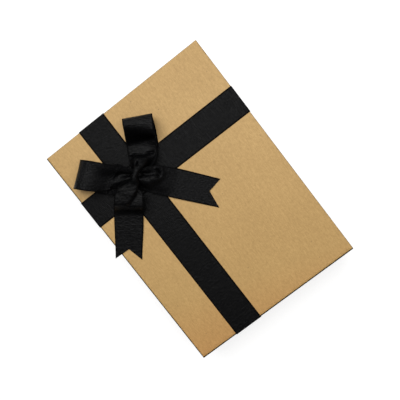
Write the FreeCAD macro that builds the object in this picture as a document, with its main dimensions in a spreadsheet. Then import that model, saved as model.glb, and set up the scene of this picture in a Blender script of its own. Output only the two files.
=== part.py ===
import FreeCAD, Part
import math
import os

import Sketcher

# Gift box of paper-wrapped board with a lift-off lid. Two flat ribbon bands cross on the lid, turn
# under its rim and are taped inside it, so the lid lifts off with its ribbon and its bow.
# Frame: millimetres, +X along the long side, +Z up, origin at the middle of the base's underside.

doc = FreeCAD.newDocument("gift_box")
sheet = doc.addObject("Spreadsheet::Sheet", "Sizes")

# Driving sizes: alias, value in millimetres or degrees, meaning
SIZES = (
    ("lid_length", 213.0, "outside length of the lid"),
    ("lid_width", 156.0, "outside width of the lid"),
    ("lid_depth", 30.0, "depth of the lid from its top to its rim"),
    ("box_height", 45.0, "height of the closed box without ribbon"),
    ("board_thickness", 1.5, "thickness of the board"),
    ("wrap_thickness", 0.3, "thickness of the outer paper"),
    ("edge_radius", 0.5, "radius of the folded paper edges"),
    ("liner_thickness", 0.25, "thickness of the lining sheets"),
    ("liner_margin", 0.5, "gap from a lining sheet to the walls round it"),
    ("lid_clearance", 1.0, "gap between the base and the inside of the lid, on each side"),
    ("stay_thickness", 0.12, "thickness of the corner stay tape"),
    ("stay_leg", 15.0, "reach of the corner stay tape along each wall"),
    ("ribbon_width", 25.4, "width of the ribbon"),
    ("ribbon_thickness", 0.4, "thickness of the ribbon"),
    ("ribbon_tuck", 12.0, "length of the ribbon ends inside the lid"),
    ("lengthwise_inset", 48.0, "front edge of the lid to the middle of the lengthwise ribbon"),
    ("crosswise_inset", 59.0, "left edge of the lid to the middle of the crosswise ribbon"),
    ("tape_thickness", 0.15, "thickness of the tape pads"),
    ("tape_width", 18.0, "width of the tape pads along the wall"),
    ("tape_height", 8.0, "height of the tape pads"),
    ("glue_diameter", 8.0, "diameter of the glue dot under the knot"),
    ("glue_thickness", 0.25, "thickness of the glue dot"),
    ("knot_shift_x", -3.0, "middle of the crossing to the knot, along X"),
    ("knot_shift_y", 4.5, "middle of the crossing to the knot, along Y"),
    ("knot_length", 20.0, "length of the knot along its strap"),
    ("knot_width", 14.0, "width of the knot across its strap"),
    ("knot_height", 11.0, "height of the knot above the glue dot"),
    ("knot_angle", 140.0, "direction of the knot's strap"),
    ("arm_gap", 0.3, "gap between the knot, the loops and the tails"),
    ("loop_height", 15.0, "height of the rolled end of a loop"),
    ("loop_dip", 5.5, "height of a loop's upper layer where it sags"),
    ("upper_loop_angle", 152.0, "direction of the upper loop"),
    ("upper_loop_reach", 46.0, "knot to the end of the upper loop"),
    ("upper_loop_shift", -9.0, "knot to the middle line of the upper loop"),
    ("left_loop_angle", 221.0, "direction of the left loop"),
    ("left_loop_reach", 47.0, "knot to the end of the left loop"),
    ("left_loop_shift", 8.5, "knot to the middle line of the left loop"),
    ("notch_depth", 8.5, "depth of the V cut in a tail's end"),
    ("lower_tail_angle", 322.5, "direction of the lower tail"),
    ("lower_tail_reach", 70.0, "knot to the tips of the lower tail"),
    ("lower_tail_shift", -8.0, "knot to the middle line of the lower tail"),
    ("lower_tail_hump", 8.5, "height of the lower tail's hump beside the knot"),
    ("lower_tail_foot", 35.0, "knot to where the lower tail comes down to lie flat"),
    ("right_tail_angle", 39.0, "direction of the right tail"),
    ("right_tail_reach", 69.0, "knot to the tips of the right tail"),
    ("right_tail_shift", 0.5, "knot to the middle line of the right tail"),
    ("right_tail_hump", 5.5, "height of the right tail's fold beside the knot"),
    ("right_tail_foot", 29.0, "knot to where the right tail comes down to lie flat"),
)
for row, (alias, value, meaning) in enumerate(SIZES, start=1):
    sheet.set(f"A{row}", meaning)
    sheet.set(f"B{row}", str(value))
    sheet.setAlias(f"B{row}", alias)
doc.recompute()

# Lengths and places worked out from the sheet, as expressions
BOARD = "Sizes.board_thickness"
PAPER = "Sizes.wrap_thickness"
RIBBON = "Sizes.ribbon_thickness"
RIBBON_WIDTH = "Sizes.ribbon_width"
TOP = "Sizes.box_height"
WALL = f"({BOARD} + 2 * {PAPER})"

LID_X = "Sizes.lid_length"
LID_Y = "Sizes.lid_width"
LID_RIM = f"({TOP} - Sizes.lid_depth)"
LID_CEILING = f"({TOP} - {PAPER} - {BOARD})"
LID_INSIDE_X = f"({LID_X} - 2 * {WALL})"
LID_INSIDE_Y = f"({LID_Y} - 2 * {WALL})"

BASE_X = f"({LID_INSIDE_X} - 2 * Sizes.lid_clearance)"
BASE_Y = f"({LID_INSIDE_Y} - 2 * Sizes.lid_clearance)"
BASE_TOP = f"({LID_CEILING} - Sizes.liner_thickness)"
BASE_FLOOR = f"({PAPER} + {BOARD})"
BASE_INSIDE_X = f"({BASE_X} - 2 * {WALL})"
BASE_INSIDE_Y = f"({BASE_Y} - 2 * {WALL})"

CROSSWISE_X = f"(Sizes.crosswise_inset - {LID_X} / 2)"
LENGTHWISE_Y = f"(Sizes.lengthwise_inset - {LID_Y} / 2)"
CROSSING_TOP = f"({TOP} + 2 * {RIBBON})"
KNOT_X = f"({CROSSWISE_X} + Sizes.knot_shift_x)"
KNOT_Y = f"({LENGTHWISE_Y} + Sizes.knot_shift_y)"
BOW_REST = f"({CROSSING_TOP} + Sizes.glue_thickness)"


def amount(alias):
    """The number in one cell of the sheet."""
    return float(sheet.get(alias))


def place(item, x, y, z):
    """Bind an object's position to three expressions."""
    item.setExpression("Placement.Base.x", x)
    item.setExpression("Placement.Base.y", y)
    item.setExpression("Placement.Base.z", z)


def block(name, span, bottom, middle=("0", "0")):
    """A box by the expressions of its sizes, its underside and the middle of its plan."""
    item = doc.addObject("Part::Box", name)
    item.Label = name
    for side, length in zip(("Length", "Width", "Height"), span):
        item.setExpression(side, length)
    place(item, f"{middle[0]} - {span[0]} / 2", f"{middle[1]} - {span[1]} / 2", bottom)
    return item


def boolean(kind, name, base, tool):
    """A Part::Cut or Part::Common of two objects."""
    item = doc.addObject(f"Part::{kind}", name)
    item.Label = name
    item.Base = base
    item.Tool = tool
    return item


def joined(name, shapes):
    """A union of several objects, without seams between their faces."""
    item = doc.addObject("Part::MultiFuse", name)
    item.Label = name
    item.Shapes = shapes
    item.Refine = True
    return item


def group(name, members):
    """Several separate solids kept as one sub-part."""
    item = doc.addObject("Part::Compound", name)
    item.Label = name
    item.Links = members
    return item


def panel(name, span, bottom, middle=("0", "0")):
    """A body padded from a rectangle sketched about its middle, placed like block."""
    body = doc.addObject("PartDesign::Body", name)
    body.Label = name
    outline = body.newObject("Sketcher::SketchObject", f"{name}_outline")
    plan = next(part for part in body.Origin.OriginFeatures if part.Role == "XY_Plane")
    outline.AttachmentSupport = [(plan, "")]
    outline.MapMode = "FlatFace"
    corners = [FreeCAD.Vector(x, y) for x, y in ((-1, -1), (1, -1), (1, 1), (-1, 1))]
    for start, end in zip(corners, corners[1:] + corners[:1]):
        outline.addGeometry(Part.LineSegment(start, end))
    for side in range(4):
        outline.addConstraint(Sketcher.Constraint("Coincident", side, 2, (side + 1) % 4, 1))
        outline.addConstraint(Sketcher.Constraint("Vertical" if side % 2 else "Horizontal", side))
    outline.addConstraint(Sketcher.Constraint("Symmetric", 0, 1, 1, 2, -1, 1))
    along = outline.addConstraint(Sketcher.Constraint("DistanceX", 0, 1, 0, 2, 2.0))
    across = outline.addConstraint(Sketcher.Constraint("DistanceY", 1, 1, 1, 2, 2.0))
    outline.setExpression(f"Constraints[{along}]", span[0])
    outline.setExpression(f"Constraints[{across}]", span[1])
    pad = body.newObject("PartDesign::Pad", f"{name}_pad")
    pad.Profile = outline
    pad.setExpression("Length", span[2])
    place(body, middle[0], middle[1], bottom)
    return body


def rounded_panel(name, span, bottom):
    """A panel with every edge rounded to the radius of the folded paper."""
    body = panel(name, span, bottom)
    doc.recompute()
    pad = body.Tip
    edges = body.newObject("PartDesign::Fillet", f"{name}_edges")
    edges.Base = (pad, [f"Edge{number}" for number in range(1, len(pad.Shape.Edges) + 1)])
    edges.setExpression("Radius", "Sizes.edge_radius")
    return body


def tray_boards(tray, panel_name, x, y, panel_low, wall_low, wall_high):
    """The flat panel and the four wall boards of a tray; x and y are its sizes over the paper."""
    across_x = f"({x} - 2 * {PAPER})"
    across_y = f"({y} - 2 * {PAPER})"
    height = f"({wall_high} - {wall_low})"
    side_y = f"(({across_y} - {BOARD}) / 2)"
    side_x = f"(({across_x} - {BOARD}) / 2)"
    long_wall = (across_x, BOARD, height)
    short_wall = (BOARD, f"({across_y} - 2 * {BOARD})", height)
    return [
        panel(f"{tray}_{panel_name}_board", (across_x, across_y, BOARD), panel_low),
        panel(f"{tray}_front_wall_board", long_wall, wall_low, ("0", f"-{side_y}")),
        panel(f"{tray}_back_wall_board", long_wall, wall_low, ("0", side_y)),
        panel(f"{tray}_left_wall_board", short_wall, wall_low, (f"-{side_x}", "0")),
        panel(f"{tray}_right_wall_board", short_wall, wall_low, (side_x, "0")),
    ]


def corner_stays(tray, x, y, wall_low, wall_high):
    """Four strips of tape folded round the upright corners of a tray's boards."""
    height = f"({wall_high} - {wall_low})"
    board_x = f"({x} - 2 * {PAPER})"
    board_y = f"({y} - 2 * {PAPER})"
    tape_x = f"({board_x} + 2 * Sizes.stay_thickness)"
    tape_y = f"({board_y} + 2 * Sizes.stay_thickness)"
    sleeve = block(f"{tray}_stay_sleeve", (tape_x, tape_y, height), wall_low)
    boards = block(f"{tray}_stay_boards", (board_x, board_y, height), wall_low)
    ring = boolean("Cut", f"{tray}_stay_ring", sleeve, boards)
    corner = ("Sizes.stay_leg", "Sizes.stay_leg", height)
    shift_x = f"(({tape_x} - Sizes.stay_leg) / 2)"
    shift_y = f"(({tape_y} - Sizes.stay_leg) / 2)"
    corners = []
    for number, (sign_x, sign_y) in enumerate((("", ""), ("-", ""), ("-", "-"), ("", "-")), start=1):
        middle = (f"{sign_x}{shift_x}", f"{sign_y}{shift_y}")
        corners.append(block(f"{tray}_stay_corner_{number}", corner, wall_low, middle))
    return boolean("Common", f"{tray}_corner_stays", ring, joined(f"{tray}_stay_corners", corners))


def paper_wrap(tray, span, low, hollow, contents):
    """The outer paper: a rounded block less the hollow, the boards and the stays inside it."""
    outside = rounded_panel(f"{tray}_outside", span, low)
    return boolean("Cut", f"{tray}_wrap", outside, joined(f"{tray}_contents", [hollow] + contents))


def make_base():
    """The tray that holds the gift."""
    wall_high = f"({BASE_TOP} - {PAPER})"
    boards = tray_boards("base", "floor", BASE_X, BASE_Y, PAPER, BASE_FLOOR, wall_high)
    stays = corner_stays("base", BASE_X, BASE_Y, BASE_FLOOR, wall_high)
    depth = f"({BASE_TOP} - {BASE_FLOOR})"
    hollow = block("base_hollow", (BASE_INSIDE_X, BASE_INSIDE_Y, depth), BASE_FLOOR)
    wrap = paper_wrap("base", (BASE_X, BASE_Y, BASE_TOP), "0", hollow, boards + [stays])
    liner_x = f"({BASE_INSIDE_X} - 2 * Sizes.liner_margin)"
    liner_y = f"({BASE_INSIDE_Y} - 2 * Sizes.liner_margin)"
    liner = block("base_floor_liner", (liner_x, liner_y, "Sizes.liner_thickness"), BASE_FLOOR)
    return boards + [stays, wrap, liner]


def make_lid():
    """The lid, whose lining sheet rests on the rim of the base."""
    wall_low = f"({LID_RIM} + {PAPER})"
    boards = tray_boards("lid", "top", LID_X, LID_Y, LID_CEILING, wall_low, LID_CEILING)
    stays = corner_stays("lid", LID_X, LID_Y, wall_low, LID_CEILING)
    depth = f"({LID_CEILING} - {LID_RIM})"
    hollow = block("lid_hollow", (LID_INSIDE_X, LID_INSIDE_Y, depth), LID_RIM)
    wrap = paper_wrap("lid", (LID_X, LID_Y, "Sizes.lid_depth"), LID_RIM, hollow, boards + [stays])
    liner_x = f"({LID_INSIDE_X} - 2 * Sizes.liner_margin)"
    liner_y = f"({LID_INSIDE_Y} - 2 * Sizes.liner_margin)"
    liner = block("lid_liner", (liner_x, liner_y, "Sizes.liner_thickness"), BASE_TOP)
    return boards + [stays, wrap, liner]


def along_x(length, width):
    """Plan sizes or a plan place of the lengthwise band."""
    return (length, width)


def along_y(length, width):
    """Plan sizes or a plan place of the crosswise band."""
    return (width, length)


def ribbon_band(name, turn, length, inside, middle):
    """A ribbon over the lid's top, down both walls, under the rim and up inside, as a flat loop."""
    low = f"({LID_RIM} - {RIBBON})"
    clear_width = f"(2 * {RIBBON_WIDTH})"
    tucked = f"({inside} - 2 * Sizes.tape_thickness)"
    mouth = f"({tucked} - 2 * {RIBBON})"
    around = f"({length} + 2 * {RIBBON})"
    outer_span = turn(around, RIBBON_WIDTH) + (f"(Sizes.lid_depth + 2 * {RIBBON})",)
    outer = block(f"{name}_outer", outer_span, low, middle)
    lid_span = turn(length, clear_width) + ("Sizes.lid_depth",)
    lid_space = block(f"{name}_lid_space", lid_span, LID_RIM, middle)
    mouth_space = block(f"{name}_mouth", turn(mouth, clear_width) + (RIBBON,), low, middle)
    loop = boolean("Cut", f"{name}_loop", outer, joined(f"{name}_spaces", [lid_space, mouth_space]))
    end_span = turn(RIBBON, RIBBON_WIDTH) + (f"(Sizes.ribbon_tuck + {RIBBON})",)
    end_place = f"(({tucked} - {RIBBON}) / 2)"
    ends = []
    for number, sign in enumerate(("", "-"), start=1):
        shift = turn(f"{sign}{end_place}", "0")
        spot = (f"{middle[0]} + {shift[0]}", f"{middle[1]} + {shift[1]}")
        ends.append(block(f"{name}_end_{number}", end_span, low, spot))
    return joined(name, [loop] + ends)


def make_ribbons():
    """The two bands; the crosswise one steps up over the lengthwise one."""
    lengthwise = ribbon_band("lengthwise_ribbon", along_x, LID_X, LID_INSIDE_X, ("0", LENGTHWISE_Y))
    flat_band = ribbon_band("crosswise_flat", along_y, LID_Y, LID_INSIDE_Y, (CROSSWISE_X, "0"))
    crossing = (CROSSWISE_X, LENGTHWISE_Y)
    step_span = (RIBBON_WIDTH, f"({RIBBON_WIDTH} + 2 * {RIBBON})", f"(2 * {RIBBON})")
    step = block("crosswise_step", step_span, TOP, crossing)
    under_span = (f"(2 * {RIBBON_WIDTH})", RIBBON_WIDTH, RIBBON)
    under = block("crosswise_under", under_span, TOP, crossing)
    stepped = joined("crosswise_stepped", [flat_band, step])
    return [lengthwise, boolean("Cut", "crosswise_ribbon", stepped, under)]


def make_tape_pads():
    """Four pads of double-sided tape between the tucked ribbon ends and the lid's walls."""
    low = f"({LID_RIM} + (Sizes.ribbon_tuck - Sizes.tape_height) / 2)"
    bands = (
        (along_x, LID_INSIDE_X, ("0", LENGTHWISE_Y)),
        (along_y, LID_INSIDE_Y, (CROSSWISE_X, "0")),
    )
    pads = []
    for turn, inside, middle in bands:
        span = turn("Sizes.tape_thickness", "Sizes.tape_width") + ("Sizes.tape_height",)
        for sign in ("", "-"):
            shift = turn(f"{sign}(({inside} - Sizes.tape_thickness) / 2)", "0")
            spot = (f"{middle[0]} + {shift[0]}", f"{middle[1]} + {shift[1]}")
            pads.append(block(f"tape_pad_{len(pads) + 1}", span, low, spot))
    return group("ribbon_tape_pads", pads)


def make_glue_dot():
    """The dot of glue that holds the knot to the crossing of the bands."""
    dot = doc.addObject("Part::Cylinder", "bow_glue_dot")
    dot.Label = "bow_glue_dot"
    dot.setExpression("Radius", "Sizes.glue_diameter / 2")
    dot.setExpression("Height", "Sizes.glue_thickness")
    place(dot, KNOT_X, KNOT_Y, CROSSING_TOP)
    return dot


def knot_dome(name, margin):
    """A dome with a flat underside, larger all round by a margin."""
    dome = doc.addObject("Part::Ellipsoid", name)
    dome.Label = name
    dome.Angle1 = 0
    dome.setExpression("Radius1", f"Sizes.knot_height + {margin}")
    dome.setExpression("Radius2", f"Sizes.knot_length / 2 + {margin}")
    dome.setExpression("Radius3", f"Sizes.knot_width / 2 + {margin}")
    dome.setExpression("Placement.Rotation.Angle", "Sizes.knot_angle")
    place(dome, KNOT_X, KNOT_Y, BOW_REST)
    return dome


# The arms of the bow in order round the knot, and how far its cutting shapes overshoot it
ARMS = ("right_tail", "upper_loop", "left_loop", "lower_tail")
SECTOR_REACHES = 4.0
PRISM_HEIGHTS = 10.0
OFFSET_TOLERANCE = 1e-4


def turn_to_neighbour(arm, step):
    """Half of the angle from an arm of the bow to the arm beside it, in radians."""
    index = ARMS.index(arm)
    neighbour = ARMS[(index + step) % len(ARMS)]
    turned = step * (amount(f"{neighbour}_angle") - amount(f"{arm}_angle"))
    return step * math.radians(turned % 360.0) / 2


def prism(points):
    """An upright prism over a plan outline, from below the bow to above it."""
    height = PRISM_HEIGHTS * amount("loop_height")
    corners = [FreeCAD.Vector(x, y, -height) for x, y in points]
    return Part.Face(Part.makePolygon(corners + corners[:1])).extrude(FreeCAD.Vector(0, 0, 2 * height))


def arm_sector(arm):
    """The wedge of the plan that an arm keeps to, between its two neighbours."""
    tip = (amount("arm_gap"), 0.0)
    far = SECTOR_REACHES * amount(f"{arm}_reach")
    sides = [turn_to_neighbour(arm, step) for step in (-1, 1)]
    return [tip] + [(far * math.cos(side), far * math.sin(side)) for side in sides]


def bent_ribbon(path, shift):
    """A ribbon along a line of (s, z) points: one straight run, then a smooth bend back to the knot.

    The line is one face of the ribbon, whose thickness lies on the right of the way it runs.
    """
    start, end, *bend = [FreeCAD.Vector(s, 0, z) for s, z in path]
    curve = Part.BSplineCurve()
    to_knot = FreeCAD.Vector(-1, 0, 0)
    curve.interpolate(Points=[end] + bend, InitialTangent=end - start, FinalTangent=to_knot)
    line = Part.Wire([Part.makeLine(start, end), curve.toShape()])
    face = line.extrude(FreeCAD.Vector(0, amount("ribbon_width"), 0))
    ribbon = face.makeOffsetShape(amount("ribbon_thickness"), OFFSET_TOLERANCE, fill=True)
    ribbon.translate(FreeCAD.Vector(0, shift - amount("ribbon_width") / 2, 0))
    return ribbon


def arm_strip(arm, ribbon):
    """One arm of the bow: a bent ribbon kept to its own sector of the plan."""
    strip = doc.addObject("Part::Feature", f"{arm}_strip")
    strip.Shape = ribbon.common(prism(arm_sector(arm)))
    strip.setExpression("Placement.Rotation.Angle", f"Sizes.{arm}_angle")
    place(strip, KNOT_X, KNOT_Y, BOW_REST)
    return strip


def end_notch(arm):
    """The V cut out of a tail's end."""
    reach = amount(f"{arm}_reach")
    shift = amount(f"{arm}_shift")
    half = amount("ribbon_width") / 2
    return [(reach - amount("notch_depth"), shift), (reach, shift - half), (reach, shift + half)]


def loop_strip(arm):
    """A loop: out along the lid, round a rolled end, back over a sag and up to the knot."""
    thickness = amount("ribbon_thickness")
    end = amount(f"{arm}_reach") - thickness
    crest = amount("loop_height") - thickness
    roll = (crest - thickness) / 2
    path = (
        (0.0, thickness),
        (end - roll, thickness),
        (end, thickness + roll),
        (end - roll, crest),
        ((end + amount("knot_length") / 2) / 3, amount("loop_dip")),
        (0.0, amount("knot_height")),
    )
    return arm_strip(arm, bent_ribbon(path, amount(f"{arm}_shift")))


def tail_strip(arm):
    """A tail: flat on the lid from its notched end, then up over a hump to the knot."""
    foot = amount(f"{arm}_foot")
    path = (
        (amount(f"{arm}_reach"), 0.0),
        (foot, 0.0),
        ((foot + amount("knot_length") / 2) / 2, amount(f"{arm}_hump")),
        (0.0, amount("knot_height") / 2),
    )
    ribbon = bent_ribbon(path, amount(f"{arm}_shift"))
    return arm_strip(arm, ribbon.cut(prism(end_notch(arm))))


def make_bow():
    """The knot, two loops and two tails."""
    knot = knot_dome("bow_knot", "0")
    room = knot_dome("bow_knot_room", "Sizes.arm_gap")
    arms = []
    for arm in ARMS:
        strip = loop_strip(arm) if arm.endswith("loop") else tail_strip(arm)
        arms.append(boolean("Cut", f"bow_{arm}", strip, room))
    return [knot] + arms


nodes = make_base() + make_lid() + make_ribbons() + [make_tape_pads(), make_glue_dot()] + make_bow()
doc.recompute()

failed = [item.Name for item in doc.Objects if {"Invalid", "Error"} & set(item.State)]
if failed:
    raise RuntimeError(f"these objects failed: {failed}")
for node in nodes:
    if node.Shape.isNull() or not node.Shape.isValid():
        raise RuntimeError(f"{node.Label} has no valid shape")

os.makedirs("parts", exist_ok=True)
for node in nodes:
    node.Shape.exportStep(f"parts/{node.Label}.step")
    print(f"{node.Label}: {len(node.Shape.Solids)} solid(s), {node.Shape.Volume:.1f} mm3")
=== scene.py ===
"""Looks of a kraft gift box with a lift-off lid, two black ribbon bands and a hand-tied bow."""

import math

import bpy
import numpy as np
from mathutils import Matrix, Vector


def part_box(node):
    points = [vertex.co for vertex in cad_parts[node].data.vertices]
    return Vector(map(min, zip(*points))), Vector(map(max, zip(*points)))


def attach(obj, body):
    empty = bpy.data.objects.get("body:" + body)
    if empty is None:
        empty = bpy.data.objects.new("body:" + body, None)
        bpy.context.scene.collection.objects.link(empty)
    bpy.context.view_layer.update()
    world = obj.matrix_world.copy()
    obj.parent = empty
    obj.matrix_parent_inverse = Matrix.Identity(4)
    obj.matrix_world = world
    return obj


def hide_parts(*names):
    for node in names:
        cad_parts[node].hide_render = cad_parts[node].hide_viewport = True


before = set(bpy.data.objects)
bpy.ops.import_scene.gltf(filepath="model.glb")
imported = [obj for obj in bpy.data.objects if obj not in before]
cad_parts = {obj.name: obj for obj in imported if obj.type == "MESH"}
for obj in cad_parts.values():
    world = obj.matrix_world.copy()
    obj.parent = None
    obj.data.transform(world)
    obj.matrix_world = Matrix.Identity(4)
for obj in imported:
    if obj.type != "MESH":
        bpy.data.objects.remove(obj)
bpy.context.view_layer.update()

MM = 0.001
CAMERA_PLACE = (-0.026155, 0.036575, 0.454162)


# Sizes read from the frame, in millimetres

def node_box(name):
    """Lowest and highest corner of a CAD node, in millimetres."""
    low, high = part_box(name)
    return np.array(low) / MM, np.array(high) / MM


lid_low, lid_high = node_box("lid_wrap")
base_low, base_high = node_box("base_wrap")
board_low, board_high = node_box("lid_top_board")
band_low, band_high = node_box("lengthwise_ribbon")
cross_low, cross_high = node_box("crosswise_ribbon")
knot_low, knot_high = node_box("bow_knot")

LID_TOP = lid_high[2]
PAPER = LID_TOP - board_high[2]
BOARD = board_high[2] - board_low[2]
RIBBON_WIDTH = band_high[1] - band_low[1]
RIBBON_THICKNESS = band_high[2] - LID_TOP
KNOT = (knot_low + knot_high) / 2


# Splines and small helpers

def spline(knots, values, at):
    """Smooth curve through rows of values at rising knots, read at other places."""
    knots = np.asarray(knots, float)
    values = np.asarray(values, float)
    gaps = np.diff(knots)[:, None]
    chords = np.diff(values, axis=0) / gaps
    slopes = np.empty_like(values)
    slopes[0] = chords[0]
    slopes[-1] = chords[-1]
    slopes[1:-1] = (chords[:-1] * gaps[1:] + chords[1:] * gaps[:-1]) / (gaps[:-1] + gaps[1:])
    index = np.clip(np.searchsorted(knots, at, side="right") - 1, 0, len(knots) - 2)
    gap = gaps[index]
    t = ((at - knots[index])[:, None]) / gap
    return (
        values[index] * (1 + 2 * t) * (1 - t) ** 2
        + slopes[index] * gap * t * (1 - t) ** 2
        + values[index + 1] * t ** 2 * (3 - 2 * t)
        + slopes[index + 1] * gap * t ** 2 * (t - 1)
    )


def running_length(points):
    """Length along a line of points, at each point."""
    steps = np.linalg.norm(np.diff(points, axis=0), axis=1)
    return np.concatenate([[0.0], np.cumsum(steps)])


def unit(vectors):
    return vectors / np.linalg.norm(vectors, axis=-1, keepdims=True)


def smooth_step(low, high, value):
    t = np.clip((value - low) / (high - low), 0, 1)
    return t * t * (3 - 2 * t)


def new_piece(name, vertices_mm, faces, material, body):
    """A mesh object in the frame, riding on a body."""
    mesh = bpy.data.meshes.new(name)
    mesh.from_pydata([tuple(v) for v in np.asarray(vertices_mm) * MM], [], faces)
    mesh.validate()
    mesh.materials.append(material)
    piece = bpy.data.objects.new(name, mesh)
    bpy.context.scene.collection.objects.link(piece)
    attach(piece, body)
    return piece


def shade_smooth(piece, sharp_degrees):
    mesh = piece.data
    mesh.polygons.foreach_set("use_smooth", [True] * len(mesh.polygons))
    mesh.set_sharp_from_angle(angle=math.radians(sharp_degrees))


# Node helpers for the materials

def new_material(name):
    material = bpy.data.materials.new(name)
    material.use_nodes = True
    tree = material.node_tree
    shader = tree.nodes["Principled BSDF"]
    return material, tree, shader


def node(tree, kind, inputs=None, **settings):
    """A shader node. An input that is a socket gets linked, any other is set."""
    made = tree.nodes.new(kind)
    for name, value in settings.items():
        setattr(made, name, value)
    for name, value in (inputs or {}).items():
        if isinstance(value, bpy.types.NodeSocket):
            tree.links.new(value, made.inputs[name])
        else:
            made.inputs[name].default_value = value
    return made


def maths(tree, operation, first, second=0.0):
    return node(tree, "ShaderNodeMath", {0: first, 1: second}, operation=operation).outputs[0]


def weighted_sum(tree, *parts):
    """The sum of parts, each given as (weight, socket)."""
    shares = [maths(tree, "MULTIPLY", socket, weight) for weight, socket in parts]
    total = shares[0]
    for share in shares[1:]:
        total = maths(tree, "ADD", total, share)
    return total


def scaled(tree, socket, factor, offset):
    """A socket's value times a factor, plus an offset."""
    made = maths(tree, "MULTIPLY_ADD", socket, factor)
    made.node.inputs[2].default_value = offset
    return made


def noise(tree, vector, scale, detail=2.0, roughness=0.5):
    inputs = {"Vector": vector, "Scale": scale, "Detail": detail, "Roughness": roughness}
    return node(tree, "ShaderNodeTexNoise", inputs).outputs["Fac"]


def stretched(tree, vector, scale):
    return node(tree, "ShaderNodeMapping", {"Vector": vector, "Scale": scale}).outputs[0]


def ramp(tree, factor, stops):
    made = node(tree, "ShaderNodeValToRGB", {"Fac": factor})
    elements = made.color_ramp.elements
    while len(elements) < len(stops):
        elements.new(0.5)
    for element, (position, colour) in zip(elements, stops):
        element.position = position
        element.color = (*colour, 1)
    return made.outputs["Color"]


def blend_colour(tree, factor, first, second, mode="MIX"):
    made = node(tree, "ShaderNodeMix", data_type="RGBA", blend_type=mode)
    for socket, value in ((made.inputs[0], factor), (made.inputs[6], first), (made.inputs[7], second)):
        if isinstance(value, bpy.types.NodeSocket):
            tree.links.new(value, socket)
        else:
            socket.default_value = value
    return made.outputs[2]


def bump(tree, shader, height, strength, distance):
    inputs = {"Height": height, "Strength": strength, "Distance": distance}
    made = node(tree, "ShaderNodeBump", inputs)
    tree.links.new(made.outputs[0], shader.inputs["Normal"])


# Materials

# Painted light on the kraft: tints by place, paler and cooler towards -X and +Y where the key lamp is,
# warmer and darker towards +X and -Y, in place of the lamp's fall-off and sheen
SHADED_SIDE_TINT = (0.97, 0.81, 0.70)
HALF_LIT_TINT = (0.97, 0.945, 0.91)
LIT_SIDE_TINT = (1.0, 0.99, 1.0)
PAINTED_LIGHT_ALONG_X = -3.8
PAINTED_LIGHT_ALONG_Y = 1.2
PAINTED_LIGHT_MIDDLE = 0.5
WEAR = 0.3
SPECK_COLOUR = (0.17, 0.10, 0.045, 1)
SPECK_CELLS = 210
SPECK_RADIUS = 0.1
SPECK_RARITY = 0.9
SPECK_STRENGTH = 0.7


def kraft_paper(name, dark, middle, light, rough):
    """Brown paper with clouds, mottling, fibres and a few dark specks, and painted light: paler towards
    -X and +Y, warmer and darker towards +X and -Y.

    It is worn where the fold attribute is high, on the panels and the folds.
    """
    material, tree, shader = new_material(name)
    place = node(tree, "ShaderNodeTexCoord").outputs["Object"]
    clouds = noise(tree, place, scale=24, detail=3)
    mottle = noise(tree, place, scale=420, detail=3, roughness=0.6)
    fibres = noise(tree, stretched(tree, place, (260, 1500, 900)), scale=1, detail=2, roughness=0.6)
    grain = noise(tree, place, scale=1900, detail=2, roughness=0.6)
    tone = weighted_sum(tree, (0.12, clouds), (0.22, mottle), (0.32, fibres), (0.34, grain))
    colour = ramp(tree, tone, ((0.36, dark), (0.5, middle), (0.64, light)))
    cells = node(tree, "ShaderNodeTexVoronoi", {"Vector": place, "Scale": SPECK_CELLS})
    chosen = node(tree, "ShaderNodeSeparateColor", {0: cells.outputs["Color"]}).outputs[0]
    speck = maths(tree, "LESS_THAN", cells.outputs["Distance"], SPECK_RADIUS)
    speck = maths(tree, "MULTIPLY", speck, maths(tree, "GREATER_THAN", chosen, SPECK_RARITY))
    speck = maths(tree, "MULTIPLY", speck, SPECK_STRENGTH)
    colour = blend_colour(tree, speck, colour, SPECK_COLOUR)
    wear = node(tree, "ShaderNodeAttribute", attribute_name="fold").outputs["Fac"]
    wear = maths(tree, "MULTIPLY", wear, maths(tree, "MULTIPLY", mottle, WEAR))
    colour = blend_colour(tree, wear, colour, (*light, 1))
    # Painted light: the paper is tinted paler towards the key lamp's side and warmer and darker away
    # from it
    axes = node(tree, "ShaderNodeSeparateXYZ", {0: place})
    painted_light = weighted_sum(tree, (PAINTED_LIGHT_ALONG_X, axes.outputs[0]), (PAINTED_LIGHT_ALONG_Y, axes.outputs[1]))
    painted_light = maths(tree, "ADD", painted_light, PAINTED_LIGHT_MIDDLE)
    painted_light_tint = ramp(tree, painted_light, ((0.0, SHADED_SIDE_TINT), (0.22, HALF_LIT_TINT), (0.8, LIT_SIDE_TINT), (1.0, HALF_LIT_TINT)))
    colour = blend_colour(tree, 1.0, colour, painted_light_tint, "MULTIPLY")
    tree.links.new(colour, shader.inputs["Base Color"])
    shader.inputs["Roughness"].default_value = rough
    shader.inputs["Specular IOR Level"].default_value = 0.5
    height = weighted_sum(tree, (0.6, fibres), (0.4, grain))
    bump(tree, shader, height, strength=0.18, distance=0.2 * MM)
    return material


WEAVE_DARK = (0.0003, 0.0003, 0.0004)
WEAVE_LIGHT = (0.0024, 0.0024, 0.0027)
SELVAGE_COLOUR = (0.0005, 0.0005, 0.0006, 1)


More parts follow.
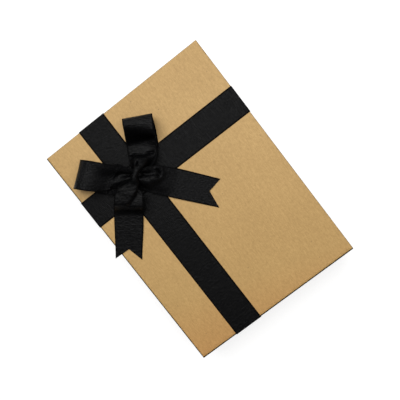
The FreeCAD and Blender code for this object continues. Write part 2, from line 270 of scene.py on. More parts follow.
def woven_ribbon(name, pucker_scale, pucker_height, painted_glint):
    """Black ribbon: fine cross ribs, warp threads, small puckers, painted glints (light spots added to
    the colour) and a plain selvage.
    """
    rib_pitch = 1.1 * MM
    thread_pitch = 0.45 * MM
    selvage = 0.9 * MM
    rib_wander = 0.35 * MM
    material, tree, shader = new_material(name)
    flat = node(tree, "ShaderNodeUVMap", uv_map="flat").outputs[0]
    axes = node(tree, "ShaderNodeSeparateXYZ", {0: flat})
    across, along = axes.outputs[0], axes.outputs[1]
    wander = noise(tree, flat, scale=260, detail=2)
    along = maths(tree, "ADD", along, maths(tree, "MULTIPLY", wander, rib_wander))
    rib = maths(tree, "SINE", maths(tree, "MULTIPLY", along, 2 * math.pi / rib_pitch))
    thread = maths(tree, "SINE", maths(tree, "MULTIPLY", across, 2 * math.pi / thread_pitch))
    edge = maths(tree, "ABSOLUTE", across)
    edge = maths(tree, "GREATER_THAN", edge, RIBBON_WIDTH * MM / 2 - selvage)
    weave = weighted_sum(tree, (0.30, rib), (0.12, thread))
    weave = maths(tree, "MULTIPLY", weave, maths(tree, "SUBTRACT", 1.0, edge))
    lint = noise(tree, stretched(tree, flat, (700, 2400, 1)), scale=1, detail=3, roughness=0.6)
    slub = noise(tree, stretched(tree, flat, (110, 1300, 1)), scale=1, detail=2, roughness=0.6)
    lint = weighted_sum(tree, (0.5, lint), (0.5, slub))
    tone = maths(tree, "ADD", maths(tree, "MULTIPLY", weave, 0.5), lint)
    colour = ramp(tree, tone, ((0.35, WEAVE_DARK), (0.65, WEAVE_LIGHT)))
    colour = blend_colour(tree, maths(tree, "MULTIPLY", edge, 0.6), colour, SELVAGE_COLOUR)
    # Painted glints: light spots added to the colour where the weave would catch the lamp
    painted_glint_spots = noise(tree, stretched(tree, flat, (820, 980, 1)), scale=1, detail=2, roughness=0.6)
    painted_glint_spots = ramp(tree, painted_glint_spots, ((0.48, (0.0, 0.0, 0.0)), (0.72, (painted_glint, painted_glint, 1.1 * painted_glint))))
    colour = blend_colour(tree, 1.0, colour, painted_glint_spots, "ADD")
    tree.links.new(colour, shader.inputs["Base Color"])
    rough = scaled(tree, lint, factor=-0.8, offset=0.76)
    rough = maths(tree, "ADD", rough, maths(tree, "MULTIPLY", edge, 0.6))
    tree.links.new(rough, shader.inputs["Roughness"])
    shader.inputs["Specular IOR Level"].default_value = 0.088
    pucker = noise(tree, stretched(tree, flat, pucker_scale), scale=1, detail=1)
    relief = maths(tree, "ADD", weave, maths(tree, "MULTIPLY", slub, 0.8))
    relief = maths(tree, "ADD", relief, maths(tree, "MULTIPLY", pucker, pucker_height))
    bump(tree, shader, relief, strength=0.5, distance=0.3 * MM)
    return material


def plain_paper(name, dark, light, scale, rough):
    """Liner paper, board and tape: a mottled sheet with a slight tooth."""
    material, tree, shader = new_material(name)
    place = node(tree, "ShaderNodeTexCoord").outputs["Object"]
    clouds = noise(tree, place, scale, detail=4, roughness=0.6)
    tooth = noise(tree, place, scale * 9, detail=2)
    tone = weighted_sum(tree, (0.6, clouds), (0.4, tooth))
    tree.links.new(ramp(tree, tone, ((0.35, dark), (0.65, light))), shader.inputs["Base Color"])
    shader.inputs["Roughness"].default_value = rough
    bump(tree, shader, tooth, strength=0.2, distance=0.2 * MM)
    return material


kraft = kraft_paper(
    "kraft_paper",
    dark=(0.386, 0.236, 0.078),
    middle=(0.479, 0.299, 0.105),
    light=(0.582, 0.377, 0.142),
    rough=0.60,
)
ribbon = woven_ribbon(
    "black_ribbon",
    pucker_scale=(380, 620, 1),
    pucker_height=2.8,
    painted_glint=0.0,
)
crumpled_ribbon = woven_ribbon(
    "crumpled_ribbon",
    pucker_scale=(720, 520, 1),
    pucker_height=3.8,
    painted_glint=0.006,
)
liner = plain_paper("liner_paper", (0.44, 0.27, 0.11), (0.60, 0.41, 0.20), scale=180, rough=0.75)
greyboard = plain_paper("greyboard", (0.20, 0.18, 0.155), (0.34, 0.32, 0.285), scale=300, rough=0.9)
stay_tape = plain_paper("stay_tape", (0.48, 0.36, 0.21), (0.62, 0.48, 0.30), scale=400, rough=0.8)
tape = plain_paper("tape", (0.74, 0.72, 0.63), (0.86, 0.84, 0.77), scale=250, rough=0.45)
glue = plain_paper("glue", (0.70, 0.64, 0.47), (0.80, 0.76, 0.63), scale=150, rough=0.3)

CAD_MATERIALS = (
    ("board", greyboard),
    ("stays", stay_tape),
    ("liner", liner),
    ("tape", tape),
    ("glue", glue),
)
for node_name, cad_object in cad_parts.items():
    for word, cad_material in CAD_MATERIALS:
        if word in node_name:
            cad_object.data.materials.clear()
            cad_object.data.materials.append(cad_material)


# Paper wraps of the lid and the base

# Millimetres, but SHARP_FOLD and ROUND_FOLD are shares of a fold's inset and ARC_STEPS is a count
FOLD_RADIUS = 0.9
TOP_FOLD_RADIUS = 1.9
SHARP_FOLD = 0.47
ROUND_FOLD = 1.3
PANEL_MARGIN = 0.6
SEAM_FROM_CORNER = 1.5
SEAM_STEP = 0.12
SEAM_SLOPE = 0.2
# Depths below the panel where the seam's step is partly there and where it is full
SEAM_PARTLY = 2.6
SEAM_FULL = 4.0
RIM_CLEAR = 1.5
SMALLEST_RADIUS = 0.12
ARC_STEPS = 6


def wrap_ring(half_x, half_y, inset, step):
    """One level ring of a wrap. Near each corner of the short walls it steps in at the paper's seam."""
    half_x = half_x - inset
    half_y = half_y - inset
    radius = max(FOLD_RADIUS - inset, SMALLEST_RADIUS)
    seam = half_y - max(SEAM_FROM_CORNER - inset, 2 * radius)
    quarter = [(half_x, seam - SEAM_SLOPE), (half_x - step, seam)]
    for k in range(ARC_STEPS + 1):
        turn = math.pi / 2 * k / ARC_STEPS
        x = half_x - radius + (radius - step) * math.cos(turn)
        y = half_y - radius + radius * math.sin(turn)
        quarter.append((x, y))
    second = [(-x, y) for x, y in reversed(quarter)]
    third = [(-x, -y) for x, y in quarter]
    fourth = [(x, -y) for x, y in reversed(quarter)]
    return quarter + second + third + fourth


def fold_arc(inset, height, start_degrees, end_degrees, radius):
    """Points (inset, height) on a fold of the paper, about its centre."""
    points = []
    for k in range(ARC_STEPS + 1):
        turn = math.radians(start_degrees + (end_degrees - start_degrees) * k / ARC_STEPS)
        points.append((inset - radius * math.cos(turn), height + radius * math.sin(turn)))
    return points


def wrap_profile(depth):
    """Rings of a tray's paper, out over the panel, round the rim and back inside.

    Each ring is (inset, height, seam step, fold).
    """
    wall = BOARD + 2 * PAPER
    rim = wall / 2
    rows = [(TOP_FOLD_RADIUS + PANEL_MARGIN, depth, 0.0, 1.0)]
    for inset, height in fold_arc(TOP_FOLD_RADIUS, depth - TOP_FOLD_RADIUS, 90, 0, TOP_FOLD_RADIUS):
        rows.append((inset, height, 0.0, 1.0))
    rows.append((0.0, depth - SEAM_PARTLY, SEAM_STEP * 0.6, 0.1))
    rows.append((0.0, depth - SEAM_FULL, SEAM_STEP, 0.0))
    rows.append((0.0, rim + RIM_CLEAR, SEAM_STEP, 0.0))
    for inset, height in fold_arc(FOLD_RADIUS, FOLD_RADIUS, 0, -90, FOLD_RADIUS):
        rows.append((inset, height, SEAM_STEP * 0.5, 0.8))
    for inset, height in fold_arc(wall - FOLD_RADIUS, FOLD_RADIUS, -90, -180, FOLD_RADIUS):
        rows.append((inset, height, 0.0, 0.6))
    rows.append((wall, depth - PAPER - BOARD, 0.0, 0.0))
    rows.append((wall - PAPER, depth - PAPER - BOARD, 0.0, 0.0))
    rows.append((wall - PAPER, PAPER, 0.0, 0.0))
    rows.append((PAPER, PAPER, 0.0, 0.0))
    rows.append((PAPER, depth - PAPER, 0.0, 0.0))
    return rows


def pressed(x, y, inset):
    """A point of the panel's fold, sharper along the back and the left and rounder on the right."""
    x += inset * (SHARP_FOLD - 1 if x < 0 else 1 - ROUND_FOLD)
    y += inset * (1 - SHARP_FOLD if y > 0 else 0)
    return x, y


def paper_wrap(name, low, high, panel_on_top, body):
    """The kraft paper of a tray. The lid's panel is on top, the base's is below."""
    depth = high[2] - low[2]
    half_x = (high[0] - low[0]) / 2
    half_y = (high[1] - low[1]) / 2
    vertices = []
    folds = []
    rings = []
    for inset, height, step, fold in wrap_profile(depth):
        z = low[2] + height if panel_on_top else high[2] - height
        start = len(vertices)
        for x, y in wrap_ring(half_x, half_y, inset, step):
            if fold == 1:
                x, y = pressed(x, y, inset)
            vertices.append((x, y, z))
            folds.append(fold)
        rings.append(range(start, len(vertices)))
    faces = [list(rings[0]), list(reversed(rings[-1]))]
    for ring, following in zip(rings, rings[1:]):
        count = len(ring)
        for k in range(count):
            after = (k + 1) % count
            faces.append([ring[after], ring[k], following[k], following[after]])
    if not panel_on_top:
        faces = [list(reversed(face)) for face in faces]
    piece = new_piece(name, vertices, faces, kraft, body)
    piece.data.attributes.new("fold", "FLOAT", "POINT").data.foreach_set("value", folds)
    shade_smooth(piece, 40)
    return piece


lid_paper = paper_wrap("lid_paper", lid_low, lid_high, True, "lid")
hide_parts("lid_wrap")
base_paper = paper_wrap("base_paper", base_low, base_high, False, "base")
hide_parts("base_wrap")


# Ribbon strips

ACROSS_STEPS = 44
ALONG_STEP = 0.6


def strip_piece(name, grid, flat_across, flat_along, cloth):
    """A closed ribbon mesh about a grid of points: rows run along the ribbon, columns across it."""
    rows, columns = grid.shape[:2]
    along = np.gradient(grid, axis=0)
    across = np.gradient(grid, axis=1)
    normal = unit(np.cross(along, across))
    half = RIBBON_THICKNESS / 2
    upper = grid + normal * half
    lower = grid - normal * half
    left = grid[:, 0] - unit(across[:, 0]) * half
    right = grid[:, -1] + unit(across[:, -1]) * half
    vertices = np.concatenate([upper.reshape(-1, 3), lower.reshape(-1, 3), left, right])
    size = rows * columns
    place = np.arange(size).reshape(rows, columns)
    left_row = 2 * size + np.arange(rows)
    right_row = left_row + rows
    faces = []
    for i in range(rows - 1):
        for j in range(columns - 1):
            a, b, c, d = place[i, j], place[i + 1, j], place[i + 1, j + 1], place[i, j + 1]
            faces.append((a, b, c, d))
            faces.append((d + size, c + size, b + size, a + size))
        for edge, column, flip in ((left_row, 0, False), (right_row, columns - 1, True)):
            top = (place[i, column], place[i + 1, column])
            for skin, turned in ((0, flip), (size, not flip)):
                face = (edge[i], edge[i + 1], top[1] + skin, top[0] + skin)
                faces.append(tuple(reversed(face)) if turned else face)
    for i, turned in ((0, False), (rows - 1, True)):
        caps = [(left_row[i], place[i, 0], place[i, 0] + size)]
        caps.append((place[i, -1], right_row[i], place[i, -1] + size))
        for j in range(columns - 1):
            caps.append((place[i, j], place[i, j + 1], place[i, j + 1] + size, place[i, j] + size))
        faces.extend(tuple(reversed(cap)) if turned else cap for cap in caps)
    faces = [[int(v) for v in face] for face in faces]
    piece = new_piece(name, vertices, faces, cloth, "lid")
    flat = np.stack([flat_across, flat_along], axis=-1).reshape(-1, 2)
    flat = np.concatenate([flat, flat, flat[place[:, 0]], flat[place[:, -1]]]) * MM
    layer = piece.data.uv_layers.new(name="flat")
    corners = np.empty(len(piece.data.loops), np.int32)
    piece.data.loops.foreach_get("vertex_index", corners)
    layer.data.foreach_set("uv", flat[corners].astype(np.float32).ravel())
    shade_smooth(piece, 50)
    return piece


def across_places():
    return np.linspace(-RIBBON_WIDTH / 2, RIBBON_WIDTH / 2, ACROSS_STEPS + 1)


# Ribbon bands round the lid

BAND_TUCK = 12.0
BAND_CORNER = 1.3
BAND_GAP = 0.02
BRIDGE_RAMP = 4.0
BRIDGE_CLEAR = 0.5
CORNER_POINTS = 9


def rounded_line(corners, radius):
    """A line through corner points in a plane, with each inner corner rounded."""
    corners = [np.array(c, float) for c in corners]
    points = [corners[0]]
    for before, corner, after in zip(corners, corners[1:], corners[2:]):
        toward = unit(before - corner)
        onward = unit(after - corner)
        reach = min(radius, np.linalg.norm(before - corner) / 2, np.linalg.norm(after - corner) / 2)
        for t in np.linspace(0, 1, CORNER_POINTS):
            points.append(corner + toward * reach * (1 - t) ** 2 + onward * reach * t ** 2)
    points.append(corners[-1])
    return np.array(points)


def band(name, axis, half_length, middle, lifts):
    """A ribbon band over the lid: tucked inside, round the rim, up the wall and across the top.

    lifts are (place, height) points of the top run, where it rides over another band.
    """
    half = RIBBON_THICKNESS / 2
    inner = half_length - BOARD - 2 * PAPER - half
    outer = half_length + half
    rim = lid_low[2] - half
    top = LID_TOP + half
    side = [(inner, lid_low[2] + BAND_TUCK), (inner, rim), (outer, rim), (outer, top)]
    corners = [(-u, z) for u, z in side]
    corners += [(u, top + lift) for u, lift in lifts]
    corners += list(reversed(side))
    line = rounded_line(corners, BAND_CORNER)
    length = running_length(line)
    at = np.linspace(0, length[-1], int(length[-1] / ALONG_STEP) + 1)
    at = np.unique(np.concatenate([at, length]))
    run = np.interp(at, length, line[:, 0])
    height = np.interp(at, length, line[:, 1])
    across = across_places()
    grid = np.zeros((len(at), len(across), 3))
    grid[:, :, axis] = run[:, None]
    grid[:, :, 1 - axis] = middle + across * (-1 if axis == 1 else 1)
    grid[:, :, 2] = height[:, None]
    flat_across, flat_along = np.meshgrid(across, at)
    piece = strip_piece(name, grid, flat_across, flat_along, ribbon)
    return piece


lid_half = (lid_high - lid_low) / 2
band_middle = (band_low[1] + band_high[1]) / 2
cross_middle = (cross_low[0] + cross_high[0]) / 2
over = RIBBON_THICKNESS + BAND_GAP
half_band = RIBBON_WIDTH / 2
bridge = [
    (band_middle - half_band - BRIDGE_RAMP, 0.0),
    (band_middle - half_band - BRIDGE_CLEAR, over),
    (band_middle + half_band + BRIDGE_CLEAR, over),
    (band_middle + half_band + BRIDGE_RAMP, 0.0),
]
lengthwise = band("lengthwise_band", 0, lid_half[0], band_middle, [])
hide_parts("lengthwise_ribbon")
crosswise = band("crosswise_band", 1, lid_half[1], cross_middle, bridge)
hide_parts("crosswise_ribbon")


# The bow, drawn about the knot: p to the right of the view, q up it, z above the lid's top

BOW_TURN = math.radians(52.4)
BOW_HALF = 12.0
TAPER_LENGTH = 35.0
NOTCH_DEPTH = 8.5
# The stretch of ribbon that gives way to a notch, in notch depths
NOTCH_REACH = 3
SMOOTHING_PASSES = 6
# How much of the width is gathered where pleats begin, and where they do it all
PLEATED = (0.03, 0.2)
STEEPEST = 2.8
HALVINGS = 30
# The upward part of the ribbon's normal where relief begins, and where it is full
FACING_UP = (0.1, 0.6)


def bow_to_frame(points):
    """Points (p, q, z) about the knot, as places in the frame."""
    p, q, z = points[..., 0], points[..., 1], points[..., 2]
    x = KNOT[0] + math.cos(BOW_TURN) * p - math.sin(BOW_TURN) * q
    y = KNOT[1] + math.sin(BOW_TURN) * p + math.cos(BOW_TURN) * q
    return np.stack([x, y, LID_TOP + z], axis=-1)


def frame_to_bow(place):
    """A place in the frame, as (p, q, z) about the knot."""
    x, y, z = np.array(place) - (KNOT[0], KNOT[1], LID_TOP)
    p = math.cos(BOW_TURN) * x + math.sin(BOW_TURN) * y
    q = math.cos(BOW_TURN) * y - math.sin(BOW_TURN) * x
    return np.array((p, q, z))


EYE = frame_to_bow(np.array(CAMERA_PLACE) / MM)


def raised(seen, z):
    """Where a point at height z has to be, to be seen at (p, q) on the lid's top."""
    return EYE[:2] + (seen - EYE[:2]) * (1 - z / EYE[2])[..., None]


def seen_at(points):
    """Where points (p, q, z) are seen on the lid's top."""
    return EYE[:2] + (points[..., :2] - EYE[:2]) / (1 - points[..., 2:] / EYE[2])


def fold_slopes(across, stations_at, folds):
    """Slopes of the folds that run along a ribbon.

    Each fold is (width, rows of (station, place across, slope)), read between its rows.
    """
    slopes = np.zeros((len(stations_at), len(across)))
    for width, rows in folds:
        station, place, slope = np.array(rows, float).T
        place = np.interp(stations_at, station, place)[:, None]
        slope = np.interp(stations_at, station, slope, left=0, right=0)[:, None]
        slopes += slope * np.exp(-((across - place) / width) ** 2)
    return slopes


def gathered_slopes(across, slopes, pleats, share):
    """Adds what brings the ribbon's width down to a share: a low arch first, then its pleats."""
    if np.mean(np.cos(slopes)) <= share:
        return slopes
    weight = smooth_step(*PLEATED, 1 - share)
    pattern = pleats * weight - across / BOW_HALF * (1 - weight)
    low, high = 0.0, STEEPEST
    for _ in range(HALVINGS):
        middle = (low + high) / 2
        if np.mean(np.cos(slopes + middle * pattern)) > share:
            low = middle
        else:
            high = middle
    return slopes + low * pattern


def from_start(rates, places):
    """Integral of rates over places along the last axis, from zero at the first place."""
    steps = (rates[..., 1:] + rates[..., :-1]) / 2 * np.diff(places)
    start = np.zeros(rates.shape[:-1] + (1,))
    return np.concatenate([start, np.cumsum(steps, axis=-1)], axis=-1)


def rest_height(points):
    """Height of a ribbon that lies on the lid or on the bands, at places in the frame."""
    soft = 2.0
    lap = 0.6
    clear = 0.05
    edge = RIBBON_WIDTH / 2 + lap
    on_band = 1 - smooth_step(edge, edge + soft, np.abs(points[..., 1] - band_middle))
    on_cross = 1 - smooth_step(edge, edge + soft, np.abs(points[..., 0] - cross_middle))
    return LID_TOP + RIBBON_THICKNESS * (0.5 + on_band + on_cross) + clear


def line_distance(points, line):
    """Distance from (p, q) points to a line of (p, q) corners."""
    best = np.full(points.shape[:-1], np.inf)
    for start, end in zip(line, line[1:]):
        start, end = np.array(start, float), np.array(end, float)
        way = end - start
        t = np.clip(((points - start) @ way) / (way @ way), 0, 1)
        near = start + t[..., None] * way
        best = np.minimum(best, np.linalg.norm(points - near, axis=-1))
    return best


def cut_notch(grid, flat_along, along, share, notch, skew):
    """Draws the end of a ribbon back to a V, by sliding its points along the ribbon."""
    ends = along[-1] - notch * (1 - np.abs(share)) - skew * (1 + share) / 2
    start = along[-1] - NOTCH_REACH * notch
    late = along > start
    for j, end in enumerate(ends):
        wanted = along.copy()
        wanted[late] = start + (along[late] - start) * (end - start) / (along[-1] - start)
        for axis in range(3):
            grid[:, j, axis] = np.interp(wanted, along, grid[:, j, axis])
        flat_along[:, j] = wanted


def bow_strip(name, cloth, stations, pleats, folds, relief, notch=0.0, skew=0.0, taper=1.0):
    """A ribbon of the bow.

    stations are rows of (p, q, z, turn of the width in degrees, half width), as seen by the camera.
    pleats take up the width where the ribbon is narrowed, and folds are there anyway.
    relief is (line of (p, q) corners, width, height) added to what faces up.
    notch is the depth of the V cut at the last end, skew its slant and taper its narrowing.
    """
    stations = np.array(stations, float)
    stations[:, :2] = raised(stations[:, :2], stations[:, 2])
    stations[:, 4] *= 1 - stations[:, 2] / EYE[2]
    knots = running_length(stations[:, :3])
    count = int(knots[-1] / ALONG_STEP) + 1
    at = np.linspace(0, knots[-1], count)
    values = spline(knots, stations, at)
    for _ in range(SMOOTHING_PASSES):
        values[1:-1] = (values[:-2] + 2 * values[1:-1] + values[2:]) / 4
    centre = values[:, :3]
    turn = np.radians(values[:, 3])
    shares = np.minimum(values[:, 4] / BOW_HALF, 1)
    tangent = unit(np.gradient(centre, axis=0))
    side = np.stack([np.cos(turn), np.sin(turn), np.zeros(count)], axis=-1)
    normal = unit(np.cross(tangent, side))
    across = np.linspace(-BOW_HALF, BOW_HALF, ACROSS_STEPS + 1)
    stations_at = np.interp(at, knots, np.arange(len(knots)))
    slopes = fold_slopes(across, stations_at, folds)
    patterns = fold_slopes(across, stations_at, pleats)
    for row, share in enumerate(shares):
        slopes[row] = gathered_slopes(across, slopes[row], patterns[row], share)
    out = from_start(np.cos(slopes), across)
    rise = from_start(np.sin(slopes), across)
    out -= (out[:, -1:] + out[:, :1]) / 2
    rise -= np.mean(rise, axis=1, keepdims=True)
    along = running_length(centre)
    out *= 1 - (1 - taper) * smooth_step(along[-1] - TAPER_LENGTH, along[-1], along)[:, None]
    grid = centre[:, None] + side[:, None] * out[..., None] + normal[:, None] * rise[..., None]
    facing = smooth_step(*FACING_UP, normal[:, 2])[:, None]
    for line, width, height in relief:
        grid[..., 2] += facing * height * np.exp(-(line_distance(seen_at(grid), line) / width) ** 2)
    flat_across, flat_along = np.meshgrid(across_places(), along)
    if notch:
        cut_notch(grid, flat_along, along, across / BOW_HALF, notch, skew)
    grid = bow_to_frame(grid)
    grid[..., 2] = np.maximum(grid[..., 2], rest_height(grid))
    piece = strip_piece(name, grid, flat_across, flat_along, cloth)
    return piece


STRAP = (
    (3.0, 3.0, 3.0, -8, 5.0),
    (5.5, 11.0, 2.4, -7, 9.4),
    (5.0, 24.0, 1.6, -2, 12.0),
    (3.0, 36.0, 1.6, 8, 12.4),
    (0.6, 44.6, 3.0, 10, 12.5),
    (0.0, 46.9, 8.5, 10, 12.5),
    (0.1, 46.0, 14.6, 10, 12.6),
    (0.5, 42.4, 16.3, 6, 12.7),
    (1.3, 36.2, 15.3, -3, 12.7),
    (1.9, 32.6, 12.2, -3, 12.6),
    (2.5, 29.6, 7.6, 6, 12.5),
    (3.0, 26.8, 4.2, 13, 12.5),
    (3.7, 22.4, 3.4, 5, 12.4),
    (4.0, 17.8, 4.6, -1, 12.2),
    (3.2, 13.3, 7.2, -1, 10.6),
    (1.4, 8.1, 9.4, -4, 8.0),
    (-0.4, 3.8, 11.0, -6, 5.0),
    (-1.4, 0.5, 12.0, -12, 2.0),
    (-5.1, -5.3, 12.4, -10, 4.2),
    (-8.0, -10.0, 12.7, -7, 7.9),
    (-7.6, -14.6, 13.0, -3, 10.6),
    (-7.8, -20.0, 13.0, -1, 12.1),
    (-7.9, -25.8, 12.2, 0, 12.5),
    (-8.0, -29.0, 8.4, 0, 12.5),
    (-7.9, -32.2, 2.0, 0, 12.5),
    (-7.9, -36.6, 1.3, 0, 12.5),
    (-7.9, -44.0, 1.1, -1, 12.4),
    (-8.1, -57.0, 0.7, -2, 12.4),
    (-8.3, -71.0, 0.4, -2, 12.4),
)
STRAP_PLEATS = (
    (4.5, (
        (0, -8.0, 1.0), (14, -8.5, 0.8), (15, -8.0, 0.8), (16.4, -6.0, 1.0),
        (17.6, -6.0, 1.0), (18.6, -8.5, 0.35), (19.6, -10.0, 0.1), (20, -10.0, 0.0),
    )),
    (4.5, (
        (0, 8.0, -1.0), (14, 7.5, -1.2), (15, 7.0, -1.2), (16.4, 6.0, -1.0),
        (17.6, 6.0, -1.0), (18.4, 6.0, -0.3), (19, 6.0, 0.0),
    )),
    (2.6, ((17.4, 7.0, 0.0), (18.2, 7.0, -1.0), (20, 6.0, -1.1), (21.5, 4.0, -1.0), (27, 4.0, -1.0))),
)
STRAP_FOLDS = (
    (3.2, ((0, 5.0, -1.1), (1, 6.5, -1.0), (2, 8.0, 0.0))),
    (1.8, (
        (17.5, 9.0, 0.0), (18.5, 8.0, -0.7), (20, 6.0, -1.1),
        (21, 3.5, -1.0), (21.8, 0.0, -0.7), (22.4, -3.0, 0.0),
    )),
    (2.4, ((18, -10.5, 0.0), (19, -10.5, 0.25), (21, -10.5, 0.2), (22.5, -10.5, 0.0))),
)
STRAP_RELIEF = (
    ((
        (-6.2, 11.8), (-5.5, 13.7), (-2.9, 15.8), (0.4, 16.4),
        (5.5, 16.2), (8.5, 17.2), (12.9, 18.0),
    ), 1.1, -1.7),
    (((-4.6, 13.6), (-2.4, 14.9), (0.4, 15.4), (4.0, 15.2)), 1.0, -1.2),
    (((-0.7, 7.8), (-0.5, 9.2)), 1.0, -2.6),
    (((15.0, 33.0), (16.0, 27.0)), 5.5, 2.4),
)
LEFT_LOOP = (
    (-2.0, -3.0, 2.6, 75, 5.0),
    (-10.0, -5.0, 1.8, 76, 8.5),
    (-20.0, -5.5, 1.5, 77, 11.6),
    (-34.0, -2.8, 1.4, 78, 12.4),
    (-46.5, -0.5, 2.8, 78, 12.5),
    (-50.1, -0.1, 7.0, 78, 12.5),
    (-48.9, -0.3, 11.4, 78, 12.6),
    (-44.2, -1.0, 13.6, 77, 12.6),
    (-38.4, -1.9, 13.2, 76, 12.6),
    (-32.2, -2.6, 11.8, 75, 12.6),
    (-23.8, -2.8, 8.8, 73, 12.6),
    (-15.6, -1.9, 7.4, 72, 10.0),
    (-8.5, -1.6, 7.2, 72, 7.0),
    (-3.4, -1.0, 7.6, 72, 5.0),
)
LEFT_PLEATS = (
    (3.0, ((0, -9.0, 0.75), (13, -9.0, 0.75))),
    (3.0, ((0, -3.0, -0.9), (13, -3.0, -0.9))),
    (4.6, ((0, 5.0, 1.0), (13, 5.0, 1.0))),
)
LEFT_FOLDS = (
    (16.0, ((5, 0.0, -0.05), (6, 0.0, -0.12), (7.5, 0.0, -0.12), (9, 0.0, 0.0))),
    (3.0, ((9, -9.5, 0.0), (10, -9.5, 0.1), (11, -9.5, 0.2), (12, -9.0, 0.5), (13, -9.0, 0.6))),
    (3.0, ((9, -3.0, 0.0), (10, -3.0, 0.06), (11, -3.0, -0.1), (12, -3.0, -0.5), (13, -3.0, -0.6))),
    (6.0, (
        (7.2, 7.0, 0.0), (8, 7.0, 0.15), (9, 7.0, 0.28),
        (10, 7.0, 0.38), (11, 6.5, 0.42), (13, 6.0, 0.45),
    )),
    (2.6, ((8.2, 3.4, 0.0), (9.5, 3.4, 0.25), (10.5, 3.4, 0.45), (11.5, 3.2, 0.55), (13, 3.0, 0.55))),
)
RIGHT_TAIL = (
    (-0.4, -2.8, 6.6, 75, 7.5),
    (4.8, -3.3, 6.8, 75, 9.6),
    (11.0, -3.8, 6.4, 75, 11.2),
    (17.2, -4.7, 5.4, 76, 12.2),
    (23.6, -6.0, 3.6, 77, 12.4),
    (29.6, -7.0, 2.0, 78, 12.4),
    (38.0, -8.9, 1.2, 79, 12.4),
    (52.0, -12.1, 0.8, 82, 12.4),
    (68.0, -15.8, 0.4, 85, 12.4),
)
RIGHT_PLEATS = (
    (3.4, ((0, -7.5, 0.7), (8, -7.5, 0.7))),
    (2.8, ((0, -0.5, -1.0), (8, -0.5, -1.0))),
    (3.2, ((0, 6.2, 1.0), (8, 6.2, 1.0))),
)
RIGHT_FOLDS = (
    (3.6, (
        (0, -7.0, 0.6), (1.5, -7.0, 0.6), (2.6, -7.5, 0.5),
        (3.6, -8.0, 0.35), (4.6, -8.0, 0.2), (5.4, -8.0, 0.0),
    )),
    (2.8, ((0, 0.0, -0.4), (1.5, 0.0, -0.35), (2.2, 0.5, -0.25), (2.8, 1.0, 0.0))),
    (2.8, ((0, 6.5, 0.7), (1.5, 6.5, 0.6), (2.4, 7.0, 0.3), (3, 7.0, 0.0))),
)
RIGHT_RELIEF = (
    (((2.0, -3.4), (9.0, -5.0), (14.5, -4.2)), 3.2, 1.7),
    (((2.5, -1.6), (9.0, -2.6), (13.5, -2.0)), 2.0, 1.6),
    (((15.8, -4.8), (19.5, -1.7), (20.8, 2.0), (19.5, 4.5), (17.0, 6.0)), 2.4, 1.1),
    (((15.8, 3.4), (17.6, 0.6), (17.2, -1.2)), 1.1, -1.9),
)

strap = bow_strip(
    "bow_strap", ribbon, STRAP, STRAP_PLEATS, STRAP_FOLDS, STRAP_RELIEF,
    notch=NOTCH_DEPTH, taper=0.92,
)
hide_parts("bow_upper_loop", "bow_lower_tail")
left_loop = bow_strip("bow_side_loop", crumpled_ribbon, LEFT_LOOP, LEFT_PLEATS, LEFT_FOLDS, ())
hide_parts("bow_left_loop")
right_tail = bow_strip(
    "bow_side_tail", crumpled_ribbon, RIGHT_TAIL, RIGHT_PLEATS, RIGHT_FOLDS, RIGHT_RELIEF,
    notch=NOTCH_DEPTH, skew=1.4, taper=0.97,
)
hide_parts("bow_right_tail")


def knot_core():
    """The ribbon wound under the strap: a rounded lump that fills the knot."""
    rows, columns = 14, 28
    half_p, half_q, half_z = 6.0, 5.0, 4.8
    middle = 5.8
    squareness = 0.8
    puckers = 5
    pucker_depth = 0.06
    pucker_turn = 0.7
    vertices = [(0.0, 0.0, middle + half_z)]
    faces = []
    for i in range(rows):
        level = math.pi * (i + 1) / (rows + 1)
        z = middle + half_z * math.cos(level)
        for j in range(columns):
            turn = 2 * math.pi * j / columns
            pucker = 1 + pucker_depth * math.cos(puckers * turn + pucker_turn)
            out = math.sin(level) ** squareness * pucker
            vertices.append((half_p * out * math.cos(turn), half_q * out * math.sin(turn), z))
    vertices.append((0.0, 0.0, middle - half_z))
    last = len(vertices) - 1
    for j in range(columns):
        after = (j + 1) % columns
        faces.append((0, 1 + j, 1 + after))
        faces.append((last, 1 + (rows - 1) * columns + after, 1 + (rows - 1) * columns + j))
        for i in range(rows - 1):
            a = 1 + i * columns
            b = a + columns
            faces.append((a + j, b + j, b + after, a + after))
    places = bow_to_frame(np.array(vertices))
    piece = new_piece("bow_knot_core", places, faces, ribbon, "lid")
    layer = piece.data.uv_layers.new(name="flat")
    for loop in piece.data.loops:
        place = vertices[loop.vertex_index]
        layer.data[loop.index].uv = (place[0] * MM, place[1] * MM)
    shade_smooth(piece, 60)
    return piece


core = knot_core()
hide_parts("bow_knot")


# Floor, light and camera

FLOOR_HALF = 12.0
FLOOR_LIT = (0.5, 0.5, 0.5, 1)
FLOOR_SEEN = (0.45, 0.45, 0.45, 1)
FLOOR_GLOW = 0.7
CEILING_FOCUS = 3.0
LIGHT_TARGET = (0.0, 0.0, 0.04)


def place_object(thing, right, up, back, place):
    """Sets where an object stands and which way it is turned."""
    rows = [[right[i], up[i], back[i], place[i]] for i in range(3)]
    thing.matrix_world = Matrix(rows + [[0, 0, 0, 1]])


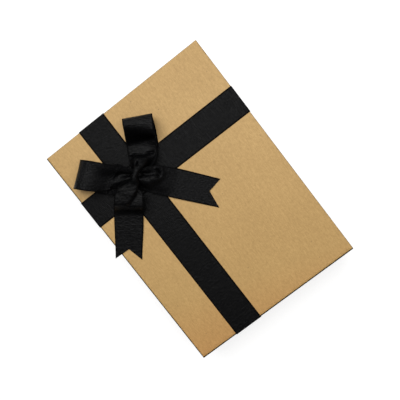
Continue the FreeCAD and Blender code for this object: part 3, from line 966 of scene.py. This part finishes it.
def white_floor():
    """A pale floor that shows white to the camera but still takes the box's shadow."""
    mesh = bpy.data.meshes.new("floor")
    corners = [(FLOOR_HALF * x, FLOOR_HALF * y, 0) for x, y in ((-1, -1), (1, -1), (1, 1), (-1, 1))]
    mesh.from_pydata(corners, [], [(0, 1, 2, 3)])
    floor = bpy.data.objects.new("floor", mesh)
    bpy.context.scene.collection.objects.link(floor)
    material, tree, shader = new_material("floor")
    path = node(tree, "ShaderNodeLightPath").outputs
    seen = maths(tree, "MAXIMUM", path["Is Camera Ray"], path["Is Glossy Ray"])
    seen = maths(tree, "MAXIMUM", seen, path["Is Transmission Ray"])
    colour = blend_colour(tree, seen, FLOOR_LIT, FLOOR_SEEN)
    tree.links.new(colour, shader.inputs["Base Color"])
    shader.inputs["Roughness"].default_value = 1.0
    shader.inputs["Specular IOR Level"].default_value = 0.0
    strength = maths(tree, "MULTIPLY", seen, FLOOR_GLOW)
    glow = node(tree, "ShaderNodeEmission", {"Color": (1, 1, 1, 1), "Strength": strength})
    both = node(tree, "ShaderNodeAddShader", {0: shader.outputs[0], 1: glow.outputs[0]})
    tree.links.new(both.outputs[0], tree.nodes["Material Output"].inputs["Surface"])
    mesh.materials.append(material)


def soft_world(horizon, ceiling):
    """A dim room under a paler ceiling."""
    world = bpy.data.worlds.new("studio")
    bpy.context.scene.world = world
    world.use_nodes = True
    tree = world.node_tree
    background = tree.nodes["Background"]
    background.inputs["Color"].default_value = (1, 1, 1, 1)
    way = node(tree, "ShaderNodeTexCoord").outputs["Generated"]
    height = node(tree, "ShaderNodeSeparateXYZ", {0: way}).outputs[2]
    overhead = maths(tree, "POWER", maths(tree, "MAXIMUM", height, 0.0), CEILING_FOCUS)
    glow = scaled(tree, overhead, factor=ceiling, offset=horizon)
    tree.links.new(glow, background.inputs["Strength"])


def area_light(name, place, target, size, power):
    """A round lamp that looks at a target. Places are in metres, power in watts."""
    light = bpy.data.lights.new(name, "AREA")
    light.shape = "DISK"
    light.size = size
    light.energy = power
    lamp = bpy.data.objects.new(name, light)
    bpy.context.scene.collection.objects.link(lamp)
    back = unit(np.array(place) - np.array(target))
    side = unit(np.cross((0.0, 1.0, 0.0), back))
    up = np.cross(back, side)
    place_object(lamp, side, up, back, place)


def photo_camera():
    """Nearly overhead, turned so that the lid's long side runs down to the right."""
    right = (0.61065, 0.79128, -0.03138)
    up = (-0.78980, 0.60567, -0.09683)
    back = (-0.05762, 0.08391, 0.99481)
    data = bpy.data.cameras.new("camera")
    data.lens = 45
    data.sensor_width = 36
    data.clip_start = 0.01
    camera = bpy.data.objects.new("camera", data)
    bpy.context.scene.collection.objects.link(camera)
    place_object(camera, right, up, back, CAMERA_PLACE)
    bpy.context.scene.camera = camera


white_floor()
soft_world(horizon=0.01, ceiling=0.45)
area_light("key", place=(-0.66, 0.13, 1.2), target=LIGHT_TARGET, size=1.2, power=17)
area_light("fill", place=(0.12, 0.6, 0.95), target=LIGHT_TARGET, size=0.8, power=2.6)
photo_camera()
bpy.context.scene.view_settings.view_transform = "Standard"
